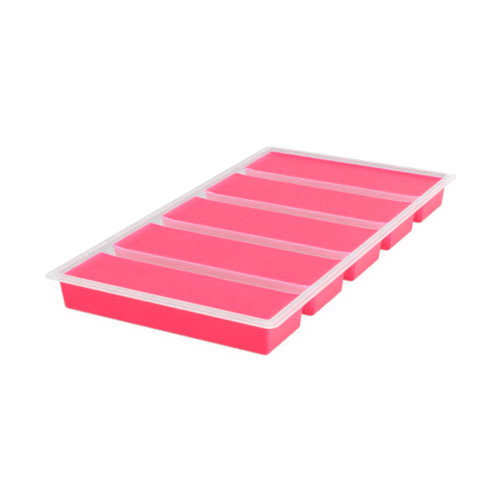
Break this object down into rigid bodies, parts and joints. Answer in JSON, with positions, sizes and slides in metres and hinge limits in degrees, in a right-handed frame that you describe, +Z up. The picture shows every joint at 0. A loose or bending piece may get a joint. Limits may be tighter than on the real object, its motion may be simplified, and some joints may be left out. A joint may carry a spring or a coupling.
{
  "type": "soap loaf mould",
  "caption": "Clear formed tray mould with a raised bead rim and a row of drafted loaf-shaped cavities, each filled level with a cast soap bar that lifts out.",
  "frame": {"origin": "centre of the tray in plan, at the level of the cup floors that it stands on", "axes": "+X along the bars, +Y across them along the row, +Z up out of the cavities"},
  "size_m": [0.15, 0.276, 0.0234],
  "materials": {
    "clear_sheet": "gloss",
    "soap": "satin"
  },
  "bodies": {
    "tray": {"tray": "clear_sheet"},
    "soap_bar_1": {"soap_bar_1": "soap"},
    "soap_bar_2": {"soap_bar_2": "soap"},
    "soap_bar_3": {"soap_bar_3": "soap"},
    "soap_bar_4": {"soap_bar_4": "soap"},
    "soap_bar_5": {"soap_bar_5": "soap"}
  },
  "joints": [
    {"name": "bar_1_lift", "type": "slide", "parent": "tray", "child": "soap_bar_1", "axis": [0, 0, 1], "range_m": [0, 0.05]},
    {"name": "bar_2_lift", "type": "slide", "parent": "tray", "child": "soap_bar_2", "axis": [0, 0, 1], "range_m": [0, 0.05]},
    {"name": "bar_3_lift", "type": "slide", "parent": "tray", "child": "soap_bar_3", "axis": [0, 0, 1], "range_m": [0, 0.05]},
    {"name": "bar_4_lift", "type": "slide", "parent": "tray", "child": "soap_bar_4", "axis": [0, 0, 1], "range_m": [0, 0.05]},
    {"name": "bar_5_lift", "type": "slide", "parent": "tray", "child": "soap_bar_5", "axis": [0, 0, 1], "range_m": [0, 0.05]}
  ]
}
